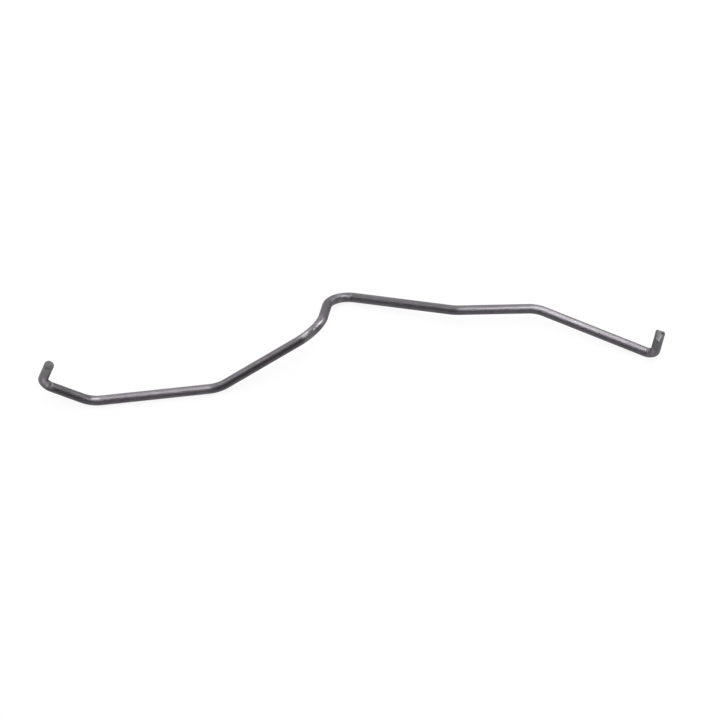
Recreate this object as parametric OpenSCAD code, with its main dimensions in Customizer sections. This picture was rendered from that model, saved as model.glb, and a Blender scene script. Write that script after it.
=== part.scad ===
// Throttle rod: one length of hard steel wire, bent cold, with a hook at each end
// and a crank in the middle. It is drawn as it comes to rest on a flat floor: the
// long run, the dip of the crank and the corner of the carburettor hook touch it,
// and both hooks stand up.
//
// A straight is measured along its centre line, between the corners where that line
// would meet the next one. Its heading is its angle from +X, seen from above. A rise
// is the height of a corner over the centre line of the wire that lies on the floor.
// A bend is given by its inside radius, that of the pin it is bent round.

/* [Wire] */
// Diameter of the wire
wire_d = 2; // [1.4:0.1:3]

/* [Trigger hook] */
// Length of the leg, from its corner to its end
trigger_leg = 8.3; // [6:0.1:14]
// Lean of the leg from upright
trigger_lean = 19; // [0:1:35]
// Heading that the leg leans to
trigger_lean_heading = 4; // [-60:1:60]
// Inside radius of the hook's bend
trigger_inside_r = 1.2; // [0.6:0.1:2]
// Radius of the rounded edge at the end
trigger_edge_r = 0.6; // [0.1:0.05:0.6]

/* [Trigger arm] */
// Length of the arm
trigger_arm = 10.6; // [8:0.1:30]
// Heading of the arm
trigger_arm_heading = -15; // [-45:0.5:-5]
// Rise of the hook's corner
trigger_rise = 2.8; // [0.5:0.1:6]

/* [Long run] */
// Length of the run
long_run = 25.6; // [15:0.1:60]
// Heading of the run
long_run_heading = 6.8; // [0:0.1:20]

/* [Crank] */
// Length of the ramp that climbs to the crest
ramp = 23.6; // [16:0.1:40]
// Heading of the ramp
ramp_heading = 24.6; // [5:0.1:45]
// Rise of the crest's corner
crest_rise = 7.6; // [4:0.1:11]
// Inside radius of the bend at the crest
crest_inside_r = 6; // [2:0.1:7]
// Length of the dive from the crest to the dip
dive = 15.2; // [13:0.1:30]
// Heading of the dive
dive_heading = 81; // [60:1:100]
// Inside radius of the bend at the dip
dip_inside_r = 3.5; // [1.5:0.1:4.5]

/* [Climb and shelf] */
// Length of the climb out of the dip
climb = 26.2; // [16:0.1:60]
// Heading of the climb
climb_heading = -12.5; // [-30:0.1:-2]
// Rise of the level shelf
shelf_rise = 2.8; // [1:0.1:6]
// Length of the shelf
shelf = 16.7; // [8:0.1:40]
// Heading of the shelf
shelf_heading = 1.4; // [-1:0.1:15]

/* [Carburettor arm] */
// Length of the arm
carb_arm = 25.6; // [12:0.1:50]
// Heading of the arm
carb_arm_heading = -21.1; // [-45:0.1:-5]

/* [Carburettor hook] */
// Length of the leg, from its corner to the ridge at its end
carb_leg = 9.9; // [7:0.1:16]
// Lean of the leg from upright
carb_lean = 2; // [0:1:25]
// Heading that the leg leans to
carb_lean_heading = 60; // [30:1:150]
// Inside radius of the hook's bend
carb_inside_r = 0.8; // [0.6:0.1:2]
// Angle between the two faces that the cutter left
nip_angle = 40; // [30:1:120]
// Heading of the ridge between them
nip_heading = -12; // [-90:1:90]
// Width of the ridge
nip_width = 0.15; // [0.05:0.05:0.5]
// How much lower the ridge is on one side of its notch
nip_step = 0.4; // [0.05:0.05:1]
// Distance of the notch from the middle of the wire
notch_offset = 0.15; // [-0.4:0.05:0.6]

/* [Shallow bends] */
// Inside radius of the four shallow bends along the rod
rod_inside_r = 7.5; // [2:0.1:12]

/* [Hidden] */
wire_r = wire_d / 2;
// How much the wire thins on its radius in a bend
bend_thinning = 0.01;
// How far a bend reaches into the straight on each side of it
bend_reach = 0.05;
// How far a cut reaches past the wire
cut_margin = 0.5;
// Rounds in which a corner that touches the floor finds its height
settle_rounds = 10;
// Step, in degrees, between the points of a bend that show how far it reaches
reach_step = 0.5;
// Step, in degrees, between the points of the rounded edge
edge_step = 15;
$fn = 96;

function unit(v) = v / norm(v);
function turn_of(a, b) = acos(unit(a) * unit(b));

// A straight of the given length and heading, whose end is higher by rise
function straight(length, heading, rise) =
    let (reach = sqrt(length * length - rise * rise))
    [reach * cos(heading), reach * sin(heading), rise];

// A leg that stands up from its corner
function leg(length, lean, heading) =
    length * [sin(lean) * cos(heading), sin(lean) * sin(heading), cos(lean)];

// Centre line radius of the bend from a to b, which takes no more than half of each
function bend_r(a, b, inside_r) =
    min(inside_r + wire_r, min(norm(a), norm(b)) / 2 / tan(turn_of(a, b) / 2));

// Height of the lowest point of the bend from a to b, over its corner
function bend_lift(a, b, inside_r) =
    let (inward = unit(unit(b) - unit(a)), across = unit(cross(a, b)))
    bend_r(a, b, inside_r) * (inward.z / cos(turn_of(a, b) / 2) - sqrt(1 - across.z * across.z));

trigger_upright = leg(trigger_leg, trigger_lean, trigger_lean_heading);
carb_upright = leg(carb_leg, carb_lean, carb_lean_heading);

// The straights beside the dip and the one before the carburettor hook, for a rise
// of the corner there
function dive_to(rise) = straight(dive, dive_heading, rise - crest_rise);
function climb_from(rise) = straight(climb, climb_heading, shelf_rise - rise);
function carb_arm_to(rise) = straight(carb_arm, carb_arm_heading, rise - shelf_rise);

// Rise of those two corners, a little under zero, so that the bends touch the floor
function settled_dip(rise = 0, rounds = settle_rounds) =
    rounds < 1 ? rise
    : settled_dip(-bend_lift(dive_to(rise), climb_from(rise), dip_inside_r), rounds - 1);
function settled_carb(rise = 0, rounds = settle_rounds) =
    rounds < 1 ? rise
    : settled_carb(-bend_lift(carb_arm_to(rise), carb_upright, carb_inside_r), rounds - 1);

dip_rise = settled_dip();
carb_rise = settled_carb();

// Every straight in order, from the end of one hook to the end of the other, and
// the inside radius of the bend after it
straights = [
    -trigger_upright,
    straight(trigger_arm, trigger_arm_heading, -trigger_rise),
    straight(long_run, long_run_heading, 0),
    straight(ramp, ramp_heading, crest_rise),
    dive_to(dip_rise),
    climb_from(dip_rise),
    straight(shelf, shelf_heading, 0),
    carb_arm_to(carb_rise),
    carb_upright
];
inside_radii = [
    trigger_inside_r,
    rod_inside_r,
    rod_inside_r,
    crest_inside_r,
    dip_inside_r,
    rod_inside_r,
    rod_inside_r,
    carb_inside_r
];
last = len(straights) - 1;

// The end of the trigger leg, each corner and the end of the carburettor leg
trigger_end = [0, 0, wire_r + trigger_rise] + trigger_upright;
corners = [
    for (k = 0, p = trigger_end; k <= last + 1; p = k <= last ? p + straights[k] : p, k = k + 1) p
];

// Everything that bend k needs, from the two straights that meet there
function before(k) = unit(straights[k]);
function after(k) = unit(straights[k + 1]);
function turn(k) = turn_of(straights[k], straights[k + 1]);
function radius(k) = bend_r(straights[k], straights[k + 1], inside_radii[k]);
function setback(k) = radius(k) * tan(turn(k) / 2);
function outward(k) = -unit(after(k) - cos(turn(k)) * before(k));
function hub(k) = corners[k + 1] - setback(k) * before(k) - radius(k) * outward(k);
function bend_point(k, angle) = hub(k) + radius(k) * (cos(angle) * outward(k) + sin(angle) * before(k));

// Middle of the rod, seen from above: the bends and the two ends reach furthest
furthest = concat(
    [corners[0], corners[last + 1]],
    [for (k = [0 : last - 1]) for (angle = [0 : reach_step : turn(k)]) bend_point(k, angle)]
);
function middle(axis) =
    let (along = [for (p = furthest) p[axis]])
    (min(along) + max(along)) / 2;

// Puts +Z along a direction
module aim(way) {
    rotate([0, acos(way.z), atan2(way.y, way.x)])
        children();
}

// The length of straight k that its bends leave
module bar(k) {
    start = k == 0 ? 0 : setback(k - 1);
    end = norm(straights[k]) - (k == last ? 0 : setback(k));
    translate(corners[k] + start * unit(straights[k]))
        aim(unit(straights[k]))
            cylinder(h = end - start, r = wire_r);
}

module bend(k) {
    reach = bend_reach / radius(k) * 180 / PI;
    across = cross(outward(k), before(k));
    multmatrix([
        [outward(k).x, before(k).x, across.x, hub(k).x],
        [outward(k).y, before(k).y, across.y, hub(k).y],
        [outward(k).z, before(k).z, across.z, hub(k).z],
        [0, 0, 0, 1]
    ])
        rotate(-reach)
            rotate_extrude(angle = turn(k) + 2 * reach)
                translate([radius(k), 0])
                    circle(r = wire_r - bend_thinning);
}

// What is taken off the end of the trigger leg to round its edge
module rounded_edge() {
    flat_r = wire_r - trigger_edge_r;
    outside = wire_r + cut_margin;
    translate(corners[0])
        aim(before(0))
            rotate_extrude()
                polygon(concat(
                    [for (a = [0 : edge_step : 90]) [
                        flat_r + trigger_edge_r * cos(a),
                        trigger_edge_r * (1 - sin(a))
                    ]],
                    [[flat_r, -cut_margin], [outside, -cut_margin], [outside, trigger_edge_r]]
                ));
}

// What the cutter took off the end of the carburettor leg: a face on each side of
// the ridge, which crosses the middle of the wire, and the lower part of the ridge
module nipped_end() {
    outside = wire_r + cut_margin;
    fall = (outside - nip_width / 2) / tan(nip_angle / 2);
    translate(corners[last + 1])
        aim(after(last - 1))
            rotate(nip_heading - carb_lean_heading) {
                for (side = [0, 180])
                    rotate([90, 0, side + 90])
                        linear_extrude(2 * outside, center = true)
                            polygon([
                                [nip_width / 2, 0],
                                [outside, -fall],
                                [outside, cut_margin],
                                [nip_width / 2, cut_margin]
                            ]);
                translate([notch_offset, -outside, -nip_step])
                    cube([outside, 2 * outside, nip_step + cut_margin]);
            }
}

module rod() {
    color([0.43, 0.41, 0.43])
        translate([-middle(0), -middle(1), 0])
            difference() {
                union() {
                    for (k = [0 : last]) bar(k);
                    for (k = [0 : last - 1]) bend(k);
                }
                rounded_edge();
                nipped_end();
            }
}

rod();
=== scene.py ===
import math

import bpy
import numpy as np
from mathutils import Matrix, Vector


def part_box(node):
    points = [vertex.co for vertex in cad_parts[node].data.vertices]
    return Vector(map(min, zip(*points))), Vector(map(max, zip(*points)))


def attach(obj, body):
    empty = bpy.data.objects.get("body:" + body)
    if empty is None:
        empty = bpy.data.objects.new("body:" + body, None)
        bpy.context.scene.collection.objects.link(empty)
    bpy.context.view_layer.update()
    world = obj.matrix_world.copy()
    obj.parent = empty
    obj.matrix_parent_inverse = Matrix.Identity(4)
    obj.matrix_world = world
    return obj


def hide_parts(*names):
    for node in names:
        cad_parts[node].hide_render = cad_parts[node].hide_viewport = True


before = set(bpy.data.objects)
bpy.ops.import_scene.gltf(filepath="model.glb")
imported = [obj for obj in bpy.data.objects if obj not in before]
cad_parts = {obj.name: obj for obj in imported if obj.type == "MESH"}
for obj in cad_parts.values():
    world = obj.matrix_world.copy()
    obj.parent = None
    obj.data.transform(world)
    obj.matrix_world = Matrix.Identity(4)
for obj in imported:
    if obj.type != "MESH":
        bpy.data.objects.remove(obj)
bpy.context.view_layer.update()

# A throttle rod, bent from one length of steel wire, as it lies on a white floor. Lengths are in
# millimetres and angles in degrees, and MM turns a length into Blender's metres.
MM = 0.001

# The wire's path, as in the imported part.
WIRE_R = 1.0
TRIGGER_LEG, TRIGGER_LEAN, TRIGGER_LEAN_HEADING = 8.3, 19.0, 4.0
TRIGGER_ARM, TRIGGER_ARM_HEADING, TRIGGER_RISE = 10.6, -15.0, 2.8
LONG_RUN, LONG_RUN_HEADING = 25.6, 6.8
RAMP, RAMP_HEADING, CREST_RISE = 23.6, 24.6, 7.6
DIVE, DIVE_HEADING = 15.2, 81.0
CLIMB, CLIMB_HEADING, SHELF_RISE = 26.2, -12.5, 2.8
SHELF, SHELF_HEADING = 16.7, 1.4
CARB_ARM, CARB_ARM_HEADING = 25.6, -21.1
CARB_LEG, CARB_LEAN, CARB_LEAN_HEADING = 9.9, 2.0, 60.0
# Inside radius of each bend in turn, which two of them settle on the floor, and in how many rounds.
INSIDE_R = [1.2, 7.5, 7.5, 6.0, 3.5, 7.5, 7.5, 0.8]
DIP_BEND, CARB_BEND = 4, 7
SETTLE_ROUNDS = 12
# The rounded edge at the trigger hook's end, and the wedge with a notched ridge at the other end.
EDGE_R = 0.6
NIP_ANGLE, NIP_HEADING, NIP_WIDTH = 40.0, -12.0, 0.15
NIP_STEP, NOTCH_OFFSET = 0.4, 0.15

# The camera.
CAMERA_ELEVATION = 62.0
CAMERA_DISTANCE = 430.0
CAMERA_TARGET = (1.643, -2.719, 1.047)
FOCAL_PIXELS = 2124.0
IMAGE_PIXELS = 720.0
SENSOR_MM = 36.0
CLIP_START = 10.0

# How far the mesh lies inside the exact wire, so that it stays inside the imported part's facets.
SKIN = 0.015
# Sides around the wire, the step between rings on a straight, that in a bend as a share of it, and
# the fewest rings of a straight and of a bend.
AROUND = 80
RING_STEP, BEND_STEP_SHARE = 0.2, 0.7
FEWEST_RINGS, FEWEST_BEND_RINGS = 2, 6
# The trigger hook's end: rings on its flat and the innermost one's share of its radius, rings on
# its rounded edge, and how far the middle of the flat stands over that edge.
FLAT_RINGS, FLAT_INNERMOST = 6, 0.1
EDGE_RINGS = 12
CROWN = 0.02
# The nipped end: rings up its side, rings over the cut and the innermost one's share of the radius.
SIDE_RINGS = 12
CUT_RINGS, CUT_INNERMOST = 35, 0.02
# How far the plain rings of the wire keep from the rounded edge, and from the lowest of the cut.
EDGE_MARGIN, NIP_MARGIN = 0.05, 0.4
# How far the rim of the cut is rubbed down, and over which share of the radius.
RIM_WEAR, RIM_WIDTH = 0.05, 0.06
# The low side of the notch is rounded over: how strongly, how much more across the ridge, and the
# place along the ridge where it stands highest.
LUMP_ROUND, LUMP_ACROSS, LUMP_TOP = 0.8, 3, 0.5
# From how far along the ridge, to both sides, its corners are worn round, and how strongly.
CORNER_FROM, CORNER_WEAR = 0.5, 1.8
# The least angle between two faces that shows as a crease.
CREASE = 35
# The UV map: its columns, the share of a column's width that stays empty, and its top and bottom
# margin.
COLUMNS, COLUMN_GAP, UV_MARGIN = 12, 0.1, 0.02

# The bright score on the front face of the cut, a burnished score with a painted highlight along it:
# the places where it starts and ends, each along and across the ridge, and its width.
SCORE_FROM, SCORE_TO, SCORE_WIDTH = (0.02, -0.92), (0.34, -0.50), 0.10
# The stretch along the ridge over which the cut shows its plain steel colour, and how far it fades at
# both ends. Beyond it the cut is darker, with painted shade over the rounded low side of the notch.
BARE_FROM, BARE_TO, BARE_FADE = -0.62, 0.38, 0.22
# How far from its middle the trigger hook's end starts to show its paler rim, painted light that
# lifts the shade on its rounded edge.
RIM_FROM = 0.7

# Marks on the wire. Each has its distance along the wire from the trigger hook's end, its place
# across the wire as the photograph shows it (0 is the middle, and 1 the upper edge, or the left
# edge where the wire is steep), half its length, half its width and its strength.
# Rubs that burnished the wire, each also a painted highlight: the bright streaks on the trigger
# hook's bend, at the start of the long run, on the crest and in the dip are painted in as lighter
# places.
RUBS_AND_HIGHLIGHTS = [
    (5.0, -0.10, 0.6, 0.22, 0.7),
    (5.7, -0.45, 0.6, 0.24, 0.9),
    (6.3, -0.56, 0.6, 0.26, 1.0),
    (7.0, -0.30, 0.6, 0.28, 1.0),
    (7.6, -0.05, 0.6, 0.28, 1.0),
    (8.3, -0.16, 0.8, 0.28, 1.0),
    (18.6, 0.42, 0.9, 0.30, 0.35),
    (64.0, 0.54, 1.6, 0.15, 1.0),
    (67.0, 0.02, 1.6, 0.15, 0.9),
    (81.0, 0.40, 0.9, 0.20, 0.20),
]
# Dents in the crest, each painted dark as shade in its hollow.
DENTS = [
    (65.2, 0.10, 0.30, 0.28, 1.0),
    (64.8, 0.28, 0.30, 0.16, 0.9),
]
# Where the jaws that bent the trigger hook left their rows of teeth, with painted shade in their
# grooves.
JAW_MARKS = [(12.0, 0.35, 2.2, 0.60, 1.0)]
# Dull places, mostly inside the bends of the hooks, painted lighter: painted light that lifts the
# shade in those corners and brightens the streak on the trigger hook's bend.
SCUFFS_AND_PAINTED_LIGHT = [
    (0.9, 0.30, 0.8, 1.5, 0.5),
    (7.0, -0.65, 1.2, 0.30, 1.0),
    (5.7, -0.45, 0.6, 0.24, 0.6),
    (6.3, -0.56, 0.6, 0.26, 0.8),
    (7.0, -0.30, 0.6, 0.26, 0.8),
    (7.6, -0.05, 0.6, 0.26, 0.7),
    (8.3, -0.16, 0.8, 0.26, 0.6),
    (9.0, 0.00, 0.9, 0.40, 0.9),
    (76.6, -0.45, 0.8, 0.25, 0.4),
    (146.7, 0.72, 0.7, 0.35, 0.8),
    (147.8, 0.62, 1.3, 0.45, 1.0),
    (81.8, -0.10, 0.7, 0.25, 0.3),
]
# Painted light on the trigger hook's leg, whose left side is painted paler, and the darker oxide on
# the carburettor hook's leg.
LEG_SIDE_LIGHT = [(1.8, 0.45, 3.2, 1.1, 1.0)]
DARK_OXIDE = [(150.2, 0.0, 2.6, 3.0, 1.0)]
# The wire counts as steep where no more than this share of its direction is along X.
STEEP = 0.5

# Base colours, as linear light. A pair holds the two ends of a mottle.
OXIDE = (0.1055, 0.098, 0.1085), (0.144, 0.136, 0.148)
TINTED = (0.119, 0.121, 0.117)
# The paler colour of the trigger hook's leg, painted light on its left side.
LEG_LIGHT_COLOUR = (0.142, 0.142, 0.147)
DARK = (0.084, 0.080, 0.091)
# Painted shade in the grooves of the jaws' teeth.
JAW_SHADE = (0.05, 0.046, 0.052)
DARK_SPECK = (0.07, 0.066, 0.072)
LIGHT_SPECK = (0.19, 0.182, 0.192)
# The colour of a scuff, painted lighter as light in shaded corners.
SCUFFED_AND_LIT = (0.20, 0.189, 0.204)
# The colour of a rub, painted light as a highlight.
RUBBED_AND_HIGHLIT = (0.36, 0.335, 0.345)
# Painted shade in a dent.
DENT_SHADE = (0.03, 0.03, 0.034)
DULL_COAT = (0.084, 0.085, 0.081), (0.119, 0.120, 0.115)
# The paler rim of the end, painted light.
DULL_RIM_LIGHT = (0.135, 0.135, 0.132)
CUT_STEEL = (0.24, 0.226, 0.245), (0.37, 0.352, 0.375)
# The darker colour at both ends of the ridge, painted shade over the rounded low side of the notch.
CUT_EDGE_AND_SHADE = (0.125, 0.125, 0.115), (0.19, 0.19, 0.178)
# The colour of the score, a painted highlight.
SCORE_HIGHLIGHT = (0.54, 0.515, 0.545)
FLOOR_WHITE = (0.85, 0.85, 0.85)
# Noise patterns: how fine they are, to the millimetre, twice across the wire and once along it,
# and their depth of detail.
DRAW_LINES = (7.0, 7.0, 0.12), 3.0
MOTTLE = (1.6, 1.6, 0.7), 4.0
GRAIN = (4.5, 4.5, 3.5), 3.0
TINT = (0.5, 0.5, 0.09), 2.0
DULL_MOTTLE = (4.0, 4.0, 4.0), 4.0
CUT_LINES = (14.0, 3.0, 14.0), 3.0
CUT_MOTTLE = (2.5, 2.5, 2.5), 3.0
# The teeth of the jaws are a wave: its stretch, its scale and how far it wanders.
JAW_TEETH, JAW_SCALE, JAW_DISTORTION = (0.55, 0.55, 1.0), 1.2, 0.6
# The values that most of a pattern lies between, a little narrower for shades, and those of two
# patterns added up.
PATTERN, SHADE_PATTERN, CUT_PATTERN = (0.3, 0.7), (0.35, 0.65), (0.8, 1.2)
# From which value to which the tint comes in, and the dark and the light specks of the grain.
TINT_PATTERN, DARK_GRAIN, LIGHT_GRAIN = (0.42, 0.62), (0.54, 0.70), (0.46, 0.30)
# The share of the mottle in the oxide's shade, the rest being the draw lines.
MOTTLE_SHARE = 0.6
# How strongly a rub and its painted highlight show, from one draw line to the next.
RUB_AND_HIGHLIGHT_LINES = (0.75, 1.1)
# How strongly each look shows in the base colour where it is full.
TINT_SHARE, DARK_SHARE, JAW_SHARE = 0.22, 0.7, 0.85
SPECK_SHARE, DENT_SHARE, RIM_SHARE = 0.45, 0.75, 0.7
# Roughness of the dark and the light oxide, what a rub takes off, and what a scuff and a dent add.
# Then the roughness of the dull end and of the cut, also at the two ends of their mottle.
OXIDE_ROUGH = (0.345, 0.305)
RUB_ROUGH, SCUFF_ROUGH, DENT_ROUGH = 0.05, 0.25, 0.15
DULL_ROUGH, CUT_ROUGH = (0.8, 0.7), (0.52, 0.38)
# How metallic a full scuff and the dull end are.
SCUFF_METALLIC, DULL_METALLIC = 0.5, 0.2
# The stretch of highlights across the draw lines, and the share of light kept at grazing angles.
DRAWN, GRAZING = 0.97, 0.8
# How far each look stands up or lies deep in the wire's relief, as a share of its depth, and the
# strength and depth of each material's relief.
LINE_HEIGHT, GRAIN_HEIGHT, DENT_DEPTH, JAW_DEPTH = 0.8, 0.25, 1.5, 1.5
WIRE_BUMP, DULL_BUMP, CUT_BUMP = (0.35, 0.012), (0.3, 0.03), (0.4, 0.03)

# The floor's size, and the share of its white that camera, glossy and transmission rays see as
# plain glow. The rest holds the shadow.
FLOOR_SIZE, GLOW_SHARE = 3000.0, 0.9

# Light: a plain studio. Each far light has the azimuth and elevation of its middle, its radiance,
# the angle from its middle over which it is even, and the further angle over which it fades. A
# near light also has its distance, and is a nest of round lamps, so that it fades too. One near
# light has its middle under the floor, and shines with the part that is over it.
FAR_LIGHTS = [
    (-16, 86.5, 14.0, 3, 8),
    (106, 2, 2.8, 9, 39),
    (46, 51, 1.3, 8, 14),
    (169, 37, 1.2, 12, 20),
    (216, 9, 0.7, 14, 20),
]
NEAR_LIGHTS = [
    (28, 67.5, 7.8, 7, 8, 300),
    (39, 17, 3.1, 12, 8, 1090),
    (154, 61.5, 2.5, 14, 10, 330),
    (-36, -10, 2.9, 17, 12, 300),
    (54, 40, 6.3, 3, 15, 300),
    (104, 65, 13.5, 1, 6, 1190),
]
# The place that the near lights are measured from, and how far into its fade each lamp of a nest
# reaches.
LIGHT_CENTRE = (0.0, 0.0, 3.0)
NEST = (0.2, 0.5, 0.8)
# The light that fills the whole room, and the pale band low round it: its strength, and its top
# and fade as heights on a globe of radius 1. Towards the camera's side only a share of it is left,
# and it falls to that share between two places along Y on the globe.
ROOM = 0.08
HORIZON, HORIZON_TOP, HORIZON_FADE = 0.6, 0.115, 0.05
BEHIND_CAMERA, BEHIND_FROM, BEHIND_TO = 0.25, -0.25, -0.75
# How finely the room's light is mapped for sampling.
WORLD_MAP = 1024


def unit(v):
    return v / np.linalg.norm(v)


def straight(length, heading, rise):
    """A straight of the given length and heading, whose end is higher by rise."""
    reach = math.sqrt(length * length - rise * rise)
    h = math.radians(heading)
    return np.array([reach * math.cos(h), reach * math.sin(h), rise])


def leg(length, lean, heading):
    """A leg that stands up from its corner."""
    a, h = math.radians(lean), math.radians(heading)
    return length * np.array([math.sin(a) * math.cos(h), math.sin(a) * math.sin(h), math.cos(a)])


def bend_lift(a, b, r):
    """Height of a bend's lowest point over its corner."""
    a, b = unit(a), unit(b)
    half = math.acos(float(a @ b)) / 2
    return r * (unit(b - a)[2] / math.cos(half) - math.sqrt(1 - unit(np.cross(a, b))[2] ** 2))


def straights():
    """Every straight in order, with the dip and the carburettor hook's corner on the floor."""
    trigger = leg(TRIGGER_LEG, TRIGGER_LEAN, TRIGGER_LEAN_HEADING)
    carb = leg(CARB_LEG, CARB_LEAN, CARB_LEAN_HEADING)
    dip = carb_rise = 0.0
    for _ in range(SETTLE_ROUNDS):
        dive = straight(DIVE, DIVE_HEADING, dip - CREST_RISE)
        climb = straight(CLIMB, CLIMB_HEADING, SHELF_RISE - dip)
        arm = straight(CARB_ARM, CARB_ARM_HEADING, carb_rise - SHELF_RISE)
        dip = -bend_lift(dive, climb, INSIDE_R[DIP_BEND] + WIRE_R)
        carb_rise = -bend_lift(arm, carb, INSIDE_R[CARB_BEND] + WIRE_R)
    return [
        -trigger,
        straight(TRIGGER_ARM, TRIGGER_ARM_HEADING, -TRIGGER_RISE),
        straight(LONG_RUN, LONG_RUN_HEADING, 0.0),
        straight(RAMP, RAMP_HEADING, CREST_RISE),
        dive,
        climb,
        straight(SHELF, SHELF_HEADING, 0.0),
        arm,
        carb,
    ]


def centre_line():
    """Points on the wire's centre line, its direction and the distance along it at each."""
    ways = straights()
    corner = np.array([0.0, 0.0, WIRE_R + TRIGGER_RISE]) - ways[0]
    points, tangents = [], []
    start = 0.0
    for k, way in enumerate(ways):
        is_last = k == len(ways) - 1
        a = unit(way)
        length = np.linalg.norm(way)
        setback = 0.0
        if not is_last:
            b = unit(ways[k + 1])
            turn = math.acos(float(a @ b))
            r = INSIDE_R[k] + WIRE_R
            setback = r * math.tan(turn / 2)
        n = max(FEWEST_RINGS, int(round((length - start - setback) / RING_STEP)))
        for t in np.linspace(start, length - setback, n, endpoint=is_last):
            points.append(corner + t * a)
            tangents.append(a)
        if not is_last:
            inward = unit(b - (a @ b) * a)
            hub = corner + (length - setback) * a + r * inward
            n = max(FEWEST_BEND_RINGS, int(round(r * turn / (RING_STEP * BEND_STEP_SHARE))))
            for f in np.linspace(0, turn, n, endpoint=False):
                points.append(hub + r * (math.sin(f) * a - math.cos(f) * inward))
                tangents.append(math.cos(f) * a + math.sin(f) * inward)
        start = setback
        corner = corner + way
    points, tangents = np.array(points), np.array(tangents)
    arc = np.r_[0, np.cumsum(np.linalg.norm(np.diff(points, axis=0), axis=1))]
    return points, tangents, arc


def carried_frames(tangents):
    """A pair of directions across the wire at each point, carried along without twist."""
    across = np.zeros_like(tangents)
    across[0] = unit(np.cross(tangents[0], [0.0, 1.0, 0.0]))
    for i in range(1, len(tangents)):
        v = across[i - 1] - (across[i - 1] @ tangents[i]) * tangents[i]
        across[i] = unit(v)
    return across, np.cross(tangents, across)


def nip_height(x, y):
    """Height of the cut over the end of the centre line: x is along the ridge, y across it."""
    fall = np.maximum(0.0, np.abs(y) - NIP_WIDTH / 2) / math.tan(math.radians(NIP_ANGLE / 2))
    lump = NIP_STEP + LUMP_ROUND * (LUMP_ACROSS * y ** 2 + (x - LUMP_TOP) ** 2)
    corner = CORNER_WEAR * np.maximum(0.0, np.abs(x) - CORNER_FROM) ** 2
    return -np.maximum(fall, np.where(x > NOTCH_OFFSET, lump, 0.0)) - corner


points, tangents, arc = centre_line()
across, beside = carried_frames(tangents)
theta = np.arange(AROUND) * 2 * math.pi / AROUND
R = WIRE_R - SKIN
total = arc[-1]

# The nipped end's directions: along the wire, along the ridge and across it.
end = points[-1]
n_end, b_end, t_end = across[-1], beside[-1], tangents[-1]
ridge = np.array([math.cos(math.radians(NIP_HEADING)), math.sin(math.radians(NIP_HEADING)), 0.0])
ridge = unit(ridge - (ridge @ t_end) * t_end)
facing = np.cross(t_end, ridge)
spokes = np.outer(np.cos(theta), n_end) + np.outer(np.sin(theta), b_end)

# The mesh. Each vertex also has its place in the wire (across it twice, and along it), its
# material's slot and its place along and across the ridge.
WIRE_SLOT, END_SLOT, CUT_SLOT = 0, 1, 2
verts, wire_co, vertex_slot, nip_place = [], [], [], []
faces = []


def add_ring(centre, n, b, radius, along, s, slot=WIRE_SLOT):
    """Adds a ring of vertices, whose radius and height along may differ around it."""
    first = len(verts)
    t = np.cross(n, b)
    for j in range(AROUND):
        c, d = math.cos(theta[j]), math.sin(theta[j])
        r = radius if np.isscalar(radius) else radius[j]
        h = along if np.isscalar(along) else along[j]
        verts.append(centre + r * (c * n + d * b) + h * t)
        wire_co.append((r * c, r * d, s + h))
        vertex_slot.append(slot)
        nip_place.append((r * (c * n + d * b) @ ridge, r * (c * n + d * b) @ facing))
    return first


def add_tip(place, s, slot):
    """Adds the vertex in the middle of one of the wire's ends."""
    verts.append(place)
    wire_co.append((0.0, 0.0, s))
    vertex_slot.append(slot)
    nip_place.append((0.0, 0.0))
    return len(verts) - 1


def cut_height(r):
    """Height of the cut around the wire at radius r, over the end of the centre line."""
    return nip_height(r * spokes @ ridge, r * spokes @ facing) - SKIN


# The trigger hook's end: a slightly crowned flat and its rounded edge.
rings = []
flat_r = WIRE_R - EDGE_R
edge_r = EDGE_R - SKIN
for f in np.linspace(FLAT_INNERMOST, 1.0, FLAT_RINGS):
    depth = SKIN + CROWN * f * f
    rings.append(add_ring(points[0], across[0], beside[0], flat_r * f, depth, 0.0, END_SLOT))
for f in np.linspace(0, 90, EDGE_RINGS + 1)[1:]:
    a = math.radians(f)
    radius = flat_r + edge_r * math.sin(a)
    depth = SKIN + CROWN + (edge_r - CROWN) * (1 - math.cos(a))
    rings.append(add_ring(points[0], across[0], beside[0], radius, depth, 0.0, END_SLOT))

# The wire, up to where the nip begins.
cut_reach = (WIRE_R - NIP_WIDTH / 2) / math.tan(math.radians(NIP_ANGLE / 2))
nip_low = total - cut_reach - NIP_MARGIN
for i in range(len(points)):
    if EDGE_R + EDGE_MARGIN < arc[i] < nip_low:
        rings.append(add_ring(points[i], across[i], beside[i], R, 0.0, arc[i]))

# The nipped end: its side rises to the cut, and rings towards the middle close the cut.
low = nip_low - total
rim = cut_height(R) - RIM_WEAR
for f in np.linspace(0, 1, SIDE_RINGS):
    rings.append(add_ring(end, n_end, b_end, R, low + (rim - low) * f, total))
for f in np.linspace(1, CUT_INNERMOST, CUT_RINGS + 1)[1:]:
    wear = RIM_WEAR * max(0.0, 1 - (1 - f) / RIM_WIDTH) ** 2
    rings.append(add_ring(end, n_end, b_end, R * f, cut_height(R * f) - wear, total, CUT_SLOT))

start_tip = add_tip(points[0] + SKIN * tangents[0], 0.0, END_SLOT)
end_tip = add_tip(end + (nip_height(0.0, 0.0) - SKIN) * t_end, total, CUT_SLOT)
for a, b in zip(rings, rings[1:]):
    for j in range(AROUND):
        k = (j + 1) % AROUND
        faces.append((a + j, a + k, b + k, b + j))
for j in range(AROUND):
    k = (j + 1) % AROUND
    faces.append((start_tip, rings[0] + k, rings[0] + j))
    faces.append((end_tip, rings[-1] + j, rings[-1] + k))

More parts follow.
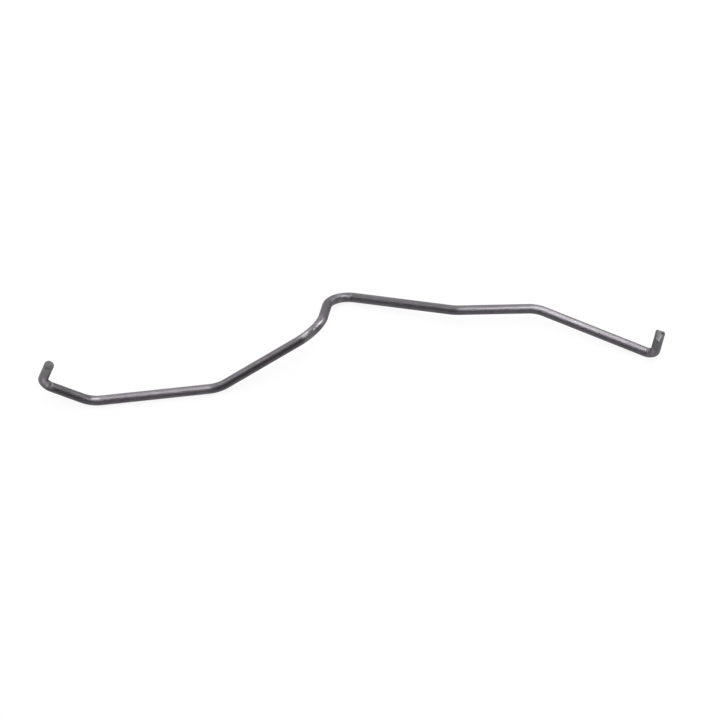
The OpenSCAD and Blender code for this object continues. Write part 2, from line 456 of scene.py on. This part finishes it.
# The path starts over the frame's origin. It moves along X and Y, until the middle of the wire's
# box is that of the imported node's box.
co = np.array(verts)
low_corner, high_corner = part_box("rod")
shift = np.zeros(3)
for axis in (0, 1):
    node_middle = (low_corner[axis] + high_corner[axis]) / 2 / MM
    shift[axis] = node_middle - (co[:, axis].min() + co[:, axis].max()) / 2
co += shift
wire_co = np.array(wire_co)
nip_place = np.array(nip_place)
vertex_slot = np.array(vertex_slot)
along_wire = wire_co[:, 2]
around_wire = np.array([math.atan2(y, x) for x, y, _ in wire_co])

# Where the camera is, which also says where the photograph shows each mark.
elevation = math.radians(CAMERA_ELEVATION)
towards_camera = np.array([0.0, -math.cos(elevation), math.sin(elevation)])
camera_place = np.array(CAMERA_TARGET) + CAMERA_DISTANCE * towards_camera
UPPER_EDGE = (0.0, math.cos(elevation), math.sin(elevation))
LEFT_EDGE = (-1.0, 0.0, 0.0)


def marked(marks):
    """The strength of a list of marks at each vertex: even along a mark, and soft across it."""
    out = np.zeros(len(verts))
    for s_mark, place, half_length, half_width, strength in marks:
        i = int(np.abs(arc - s_mark).argmin())
        view = unit(camera_place - points[i] - shift)
        facing_camera = unit(view - (view @ tangents[i]) * tangents[i])
        sideways = np.cross(tangents[i], facing_camera)
        edge = LEFT_EDGE if abs(tangents[i][0]) <= STEEP else UPPER_EDGE
        sideways = sideways if sideways @ edge > 0 else -sideways
        normal = math.sqrt(1 - place * place) * facing_camera + place * sideways
        turn = math.atan2(normal @ beside[i], normal @ across[i])
        off = WIRE_R * ((around_wire - turn + math.pi) % (2 * math.pi) - math.pi)
        weight = np.exp(-((along_wire - s_mark) / half_length) ** 4 - (off / half_width) ** 2)
        out = np.maximum(out, strength * weight)
    return out


def scored_and_highlit():
    """How near each vertex lies to the bright score on the front face of the cut, painted as a
    highlight.
    """
    start, way = np.array(SCORE_FROM), np.array(SCORE_TO) - np.array(SCORE_FROM)
    off = nip_place - start
    along_score = np.clip(off @ way / (way @ way), 0.0, 1.0)
    return np.exp(-(np.linalg.norm(off - np.outer(along_score, way), axis=1) / SCORE_WIDTH) ** 2)


def bare_and_unshaded():
    """How much of the cut's plain steel colour shows at each vertex: less at both ends of the ridge,
    which are darker, with painted shade over the rounded low side of the notch.
    """
    x = nip_place[:, 0]
    from_one_end = np.clip((x - BARE_FROM) / BARE_FADE, 0.0, 1.0)
    from_the_other = np.clip((BARE_TO - x) / BARE_FADE, 0.0, 1.0)
    return from_one_end * from_the_other


def at_rim():
    """How near each vertex lies to the wire's surface, from its middle."""
    return np.clip((np.hypot(wire_co[:, 0], wire_co[:, 1]) - RIM_FROM) / (R - RIM_FROM), 0.0, 1.0)


mesh = bpy.data.meshes.new("throttle_rod_wire")
mesh.from_pydata([tuple(v) for v in co * MM], [], faces)
mesh.update()
attribute = mesh.attributes.new("wire_co", "FLOAT_VECTOR", "POINT")
attribute.data.foreach_set("vector", wire_co.astype(np.float32).ravel())
# Several looks also carry painted light and shade: painted highlights on the rubs and the score,
# painted light on the scuffs, the left side of the trigger leg and the rim of its end, and painted
# shade in the dents, the jaws' teeth and at both ends of the cut's ridge.
looks = {
    "rub_and_highlight": marked(RUBS_AND_HIGHLIGHTS),
    "dent_and_shade": marked(DENTS),
    "jaw_and_shade": marked(JAW_MARKS),
    "scuff_and_painted_light": marked(SCUFFS_AND_PAINTED_LIGHT),
    "leg_side_light": marked(LEG_SIDE_LIGHT),
    "dark": marked(DARK_OXIDE),
    "score_and_highlight": scored_and_highlit(),
    "bare_and_unshaded": bare_and_unshaded(),
    "rim": at_rim(),
}
for name, strength in looks.items():
    attribute = mesh.attributes.new(name, "FLOAT", "POINT")
    attribute.data.foreach_set("value", strength.astype(np.float32))
mesh.polygons.foreach_set("use_smooth", np.ones(len(mesh.polygons), bool))
mesh.set_sharp_from_angle(angle=math.radians(CREASE))
wire = bpy.data.objects.new("throttle_rod_wire", mesh)
bpy.context.scene.collection.objects.link(wire)

# A UV map with the wire laid out in columns. U runs round the wire, so it also gives the
# direction across the draw lines.
uv = mesh.uv_layers.new(name="OFBake")
corner_vertex = np.empty(len(mesh.loops), np.int32)
mesh.loops.foreach_get("vertex_index", corner_vertex)
HALF_TURN = 0.5
turns_of = around_wire % (2 * math.pi) / (2 * math.pi)
column_length = (along_wire.max() - along_wire.min()) / COLUMNS
uv_values = np.zeros((len(corner_vertex), 2), np.float32)
slots = np.zeros(len(mesh.polygons), np.int32)
for polygon in mesh.polygons:
    loops = slice(polygon.loop_start, polygon.loop_start + polygon.loop_total)
    ids = corner_vertex[loops]
    slots[polygon.index] = vertex_slot[ids].max()
    # A face that crosses the seam has corners on both sides of the full turn.
    turns = turns_of[ids].copy()
    if turns.max() - turns.min() > HALF_TURN:
        turns[turns < HALF_TURN] += 1.0
    along = along_wire[ids] - along_wire.min()
    column = min(COLUMNS - 1, int(along.mean() / column_length))
    height = (along - column * column_length) / column_length
    height = np.clip(height, -UV_MARGIN, 1 + UV_MARGIN)
    uv_values[loops, 0] = (column + COLUMN_GAP / 2 + turns * (1 - COLUMN_GAP)) / COLUMNS
    uv_values[loops, 1] = UV_MARGIN + (1 - 2 * UV_MARGIN) * height
uv.data.foreach_set("uv", uv_values.ravel())
mesh.polygons.foreach_set("material_index", slots)

# The numbers of a Mix node's colour sockets.
MIX_A, MIX_B, MIX_RESULT = 6, 7, 2


class Nodes:
    """Short ways to add shader nodes to a tree."""

    def __init__(self, tree):
        self.tree = tree

    def add(self, kind, **settings):
        node = self.tree.nodes.new("ShaderNode" + kind)
        for key, value in settings.items():
            setattr(node, key, value)
        return node

    def put(self, value, socket):
        """Links an output to a socket, or sets the socket to a plain value."""
        if isinstance(value, bpy.types.NodeSocket):
            self.tree.links.new(value, socket)
        else:
            socket.default_value = value

    def attribute(self, name, output="Fac"):
        return self.add("Attribute", attribute_name=name).outputs[output]

    def scaled(self, vector, scale):
        node = self.add("VectorMath", operation="MULTIPLY")
        self.put(vector, node.inputs[0])
        self.put(scale, node.inputs[1])
        return node.outputs[0]

    def noise(self, vector, scale, detail):
        node = self.add("TexNoise")
        self.put(self.scaled(vector, scale), node.inputs["Vector"])
        self.put(1.0, node.inputs["Scale"])
        self.put(detail, node.inputs["Detail"])
        return node.outputs[0]

    def ranged(self, value, source, target, interpolation="LINEAR"):
        """Maps a value from one range to another, and keeps it inside the second."""
        node = self.add("MapRange", interpolation_type=interpolation)
        self.put(value, node.inputs["Value"])
        self.put(source[0], node.inputs["From Min"])
        self.put(source[1], node.inputs["From Max"])
        self.put(target[0], node.inputs["To Min"])
        self.put(target[1], node.inputs["To Max"])
        return node.outputs["Result"]

    def math(self, operation, a, b):
        node = self.add("Math", operation=operation)
        self.put(a, node.inputs[0])
        self.put(b, node.inputs[1])
        return node.outputs[0]

    def colour(self, share, a, b):
        """Colour a, with the given share of colour b."""
        node = self.add("Mix", data_type="RGBA")
        self.put(share, node.inputs[0])
        self.put((*a, 1.0) if isinstance(a, tuple) else a, node.inputs[MIX_A])
        self.put((*b, 1.0) if isinstance(b, tuple) else b, node.inputs[MIX_B])
        return node.outputs[MIX_RESULT]

    def bump(self, height, strength, distance):
        node = self.add("Bump")
        self.put(height, node.inputs["Height"])
        self.put(strength, node.inputs["Strength"])
        self.put(distance * MM, node.inputs["Distance"])
        return node.outputs[0]


def new_material(name):
    """A material, the short ways to add its nodes, and its shader."""
    material = bpy.data.materials.new(name)
    material.use_nodes = True
    shader = material.node_tree.nodes["Principled BSDF"]
    return material, Nodes(material.node_tree), shader


def wire_material():
    """The drawn wire under its thin dark oxide coat: draw lines, mottle, the marks of bending, and
    painted light and shade.
    """
    material, m, shader = new_material("dark_wire_steel")
    place = m.attribute("wire_co", "Vector")
    lines = m.noise(place, *DRAW_LINES)
    mottle = m.noise(place, *MOTTLE)
    grain = m.noise(place, *GRAIN)
    tint = m.noise(place, *TINT)
    dent_and_shade = m.attribute("dent_and_shade")
    scuff_and_painted_light = m.attribute("scuff_and_painted_light")
    rub_and_highlight = m.math("MULTIPLY", m.attribute("rub_and_highlight"), m.ranged(lines, PATTERN, RUB_AND_HIGHLIGHT_LINES))
    dark = m.math("MULTIPLY", m.attribute("dark"), DARK_SHARE)
    teeth = m.add("TexWave", wave_type="BANDS", bands_direction="DIAGONAL", wave_profile="SIN")
    m.put(m.scaled(place, JAW_TEETH), teeth.inputs["Vector"])
    m.put(JAW_SCALE, teeth.inputs["Scale"])
    m.put(JAW_DISTORTION, teeth.inputs["Distortion"])
    jaw_and_shade = m.math("MULTIPLY", m.attribute("jaw_and_shade"), teeth.outputs["Fac"])

    mottle_part = m.math("MULTIPLY", mottle, MOTTLE_SHARE)
    lines_part = m.math("MULTIPLY", lines, 1 - MOTTLE_SHARE)
    shade = m.ranged(m.math("ADD", mottle_part, lines_part), SHADE_PATTERN, (0.0, 1.0))
    colour = m.colour(shade, *OXIDE)
    colour = m.colour(m.ranged(tint, TINT_PATTERN, (0.0, TINT_SHARE)), colour, TINTED)
    # Painted light: the left side of the trigger hook's leg is painted paler.
    colour = m.colour(m.attribute("leg_side_light"), colour, LEG_LIGHT_COLOUR)
    colour = m.colour(dark, colour, DARK)
    # Painted shade: the grooves of the jaws' teeth are painted dark.
    colour = m.colour(m.math("MULTIPLY", jaw_and_shade, JAW_SHARE), colour, JAW_SHADE)
    colour = m.colour(m.ranged(grain, DARK_GRAIN, (0.0, SPECK_SHARE)), colour, DARK_SPECK)
    colour = m.colour(m.ranged(grain, LIGHT_GRAIN, (0.0, SPECK_SHARE)), colour, LIGHT_SPECK)
    # Painted light: the scuffs lift the shade inside the bends.
    colour = m.colour(scuff_and_painted_light, colour, SCUFFED_AND_LIT)
    # Painted highlights: the rubs are painted lighter where the highlights stand.
    colour = m.colour(rub_and_highlight, colour, RUBBED_AND_HIGHLIT)
    # Painted shade: the dents are painted dark.
    colour = m.colour(m.math("MULTIPLY", dent_and_shade, DENT_SHARE), colour, DENT_SHADE)
    m.put(colour, shader.inputs["Base Color"])

    rough = m.ranged(shade, (0.0, 1.0), OXIDE_ROUGH)
    rough = m.math("SUBTRACT", rough, m.math("MULTIPLY", rub_and_highlight, RUB_ROUGH))
    rough = m.math("ADD", rough, m.math("MULTIPLY", scuff_and_painted_light, SCUFF_ROUGH))
    rough = m.math("ADD", rough, m.math("MULTIPLY", dent_and_shade, DENT_ROUGH))
    m.put(rough, shader.inputs["Roughness"])
    m.put(m.ranged(scuff_and_painted_light, (0.0, 1.0), (1.0, SCUFF_METALLIC)), shader.inputs["Metallic"])
    m.put(DRAWN, shader.inputs["Anisotropic"])
    m.put((GRAZING, GRAZING, GRAZING, 1.0), shader.inputs["Specular Tint"])
    tangent = m.add("Tangent", direction_type="UV_MAP", uv_map="OFBake")
    m.put(tangent.outputs[0], shader.inputs["Tangent"])

    line_relief = m.math("MULTIPLY", lines, LINE_HEIGHT)
    relief = m.math("ADD", line_relief, m.math("MULTIPLY", grain, GRAIN_HEIGHT))
    relief = m.math("SUBTRACT", relief, m.math("MULTIPLY", dent_and_shade, DENT_DEPTH))
    relief = m.math("SUBTRACT", relief, m.math("MULTIPLY", jaw_and_shade, JAW_DEPTH))
    m.put(m.bump(relief, *WIRE_BUMP), shader.inputs["Normal"])
    return material


def dull_end_material():
    """The end of the trigger hook, tumbled dull under the same coat, with painted light on its rim.
    """
    material, m, shader = new_material("dull_wire_end")
    mottle = m.noise(m.attribute("wire_co", "Vector"), *DULL_MOTTLE)
    colour = m.colour(m.ranged(mottle, SHADE_PATTERN, (0.0, 1.0)), *DULL_COAT)
    # Painted light: the rounded rim of the end is painted paler.
    colour = m.colour(m.math("MULTIPLY", m.attribute("rim"), RIM_SHARE), colour, DULL_RIM_LIGHT)
    m.put(colour, shader.inputs["Base Color"])
    m.put(m.ranged(mottle, PATTERN, DULL_ROUGH), shader.inputs["Roughness"])
    m.put(DULL_METALLIC, shader.inputs["Metallic"])
    m.put(m.bump(mottle, *DULL_BUMP), shader.inputs["Normal"])
    return material


def cut_material():
    """The faces that the cutter left: steel with no coat, with the fine lines of the cut, painted
    shade at the ends of its ridge and a painted highlight on its score.
    """
    material, m, shader = new_material("nipped_steel")
    place = m.attribute("wire_co", "Vector")
    lines = m.noise(place, *CUT_LINES)
    mottle = m.noise(place, *CUT_MOTTLE)
    shade = m.ranged(m.math("ADD", lines, mottle), CUT_PATTERN, (0.0, 1.0))
    # Painted shade: both ends of the ridge take the darker colour.
    colour = m.colour(m.attribute("bare_and_unshaded"), m.colour(shade, *CUT_EDGE_AND_SHADE), m.colour(shade, *CUT_STEEL))
    # Painted highlight: the score is painted bright.
    colour = m.colour(m.attribute("score_and_highlight"), colour, SCORE_HIGHLIGHT)
    m.put(colour, shader.inputs["Base Color"])
    m.put(m.ranged(mottle, PATTERN, CUT_ROUGH), shader.inputs["Roughness"])
    m.put(1.0, shader.inputs["Metallic"])
    m.put(m.bump(lines, *CUT_BUMP), shader.inputs["Normal"])
    return material


def floor_material():
    """White paper that keeps a faint shadow."""
    material, m, shader = new_material("white_paper")
    m.put((*FLOOR_WHITE, 1.0), shader.inputs["Base Color"])
    m.put(1.0, shader.inputs["Roughness"])
    m.put(0.0, shader.inputs["Specular IOR Level"])
    glow = m.add("Emission")
    m.put(1.0, glow.inputs["Strength"])
    rays = m.add("LightPath").outputs
    seen = m.math("MAXIMUM", rays["Is Camera Ray"], rays["Is Glossy Ray"])
    seen = m.math("MAXIMUM", seen, rays["Is Transmission Ray"])
    mix = m.add("MixShader")
    m.put(m.math("MULTIPLY", seen, GLOW_SHARE), mix.inputs[0])
    m.put(shader.outputs[0], mix.inputs[1])
    m.put(glow.outputs[0], mix.inputs[2])
    m.put(mix.outputs[0], material.node_tree.nodes["Material Output"].inputs["Surface"])
    return material


# In the order of WIRE_SLOT, END_SLOT and CUT_SLOT.
mesh.materials.append(wire_material())
mesh.materials.append(dull_end_material())
mesh.materials.append(cut_material())

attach(wire, "root")
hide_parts("rod")

bpy.ops.mesh.primitive_plane_add(size=FLOOR_SIZE * MM, location=(0, 0, 0))
floor = bpy.context.object
floor.name = "floor"
floor.data.materials.append(floor_material())


def towards(azimuth, height):
    """The direction at an azimuth from +X and a height over the floor, both in degrees."""
    a, e = math.radians(azimuth), math.radians(height)
    return Vector((math.cos(e) * math.cos(a), math.cos(e) * math.sin(a), math.sin(e)))


# The far lights, the room's own light and the pale band are the world.
world = bpy.data.worlds.new("studio")
bpy.context.scene.world = world
world.use_nodes = True
w = Nodes(world.node_tree)
direction = w.add("TexCoord").outputs["Generated"]
total_light = ROOM
for azimuth, height, radiance, even, fade in FAR_LIGHTS:
    dot = w.add("VectorMath", operation="DOT_PRODUCT")
    w.put(direction, dot.inputs[0])
    w.put(towards(azimuth, height), dot.inputs[1])
    fade_range = math.cos(math.radians(even + fade)), math.cos(math.radians(even))
    lobe = w.ranged(dot.outputs["Value"], fade_range, (0.0, radiance), "SMOOTHSTEP")
    total_light = w.math("ADD", total_light, lobe)
split = w.add("SeparateXYZ")
w.put(direction, split.inputs[0])
band_range = HORIZON_TOP, HORIZON_TOP + HORIZON_FADE
band = w.ranged(split.outputs["Z"], band_range, (HORIZON, 0.0), "SMOOTHSTEP")
side_range = BEHIND_TO, BEHIND_FROM
side = w.ranged(split.outputs["Y"], side_range, (BEHIND_CAMERA, 1.0), "SMOOTHSTEP")
total_light = w.math("MAXIMUM", total_light, w.math("MULTIPLY", band, side))
background = world.node_tree.nodes["Background"]
w.put(total_light, background.inputs["Strength"])
w.put((1.0, 1.0, 1.0, 1.0), background.inputs["Color"])
world.cycles.sampling_method = "MANUAL"
world.cycles.sample_map_resolution = WORLD_MAP

# The near lights. A round lamp of radius r and radiance L has the energy 4 pi^2 r^2 L.
for i, (azimuth, height, radiance, even, fade, distance) in enumerate(NEAR_LIGHTS):
    for k, share in enumerate(NEST):
        data = bpy.data.lights.new(f"lamp_{i}_{k}", "POINT")
        radius = distance * MM * math.sin(math.radians(even + share * fade))
        data.shadow_soft_size = radius
        data.use_soft_falloff = False
        data.energy = 4 * math.pi ** 2 * radius ** 2 * radiance / len(NEST)
        lamp = bpy.data.objects.new(data.name, data)
        lamp.location = (Vector(LIGHT_CENTRE) + towards(azimuth, height) * distance) * MM
        lamp.visible_camera = False
        bpy.context.scene.collection.objects.link(lamp)

camera_data = bpy.data.cameras.new("camera")
camera_data.sensor_width = SENSOR_MM
camera_data.lens = SENSOR_MM * FOCAL_PIXELS / IMAGE_PIXELS
camera_data.clip_start = CLIP_START * MM
camera = bpy.data.objects.new("camera", camera_data)
camera.location = camera_place * MM
camera.rotation_euler = Vector(towards_camera).to_track_quat("Z", "Y").to_euler()
bpy.context.scene.collection.objects.link(camera)
bpy.context.scene.camera = camera

bpy.context.scene.view_settings.view_transform = "Standard"
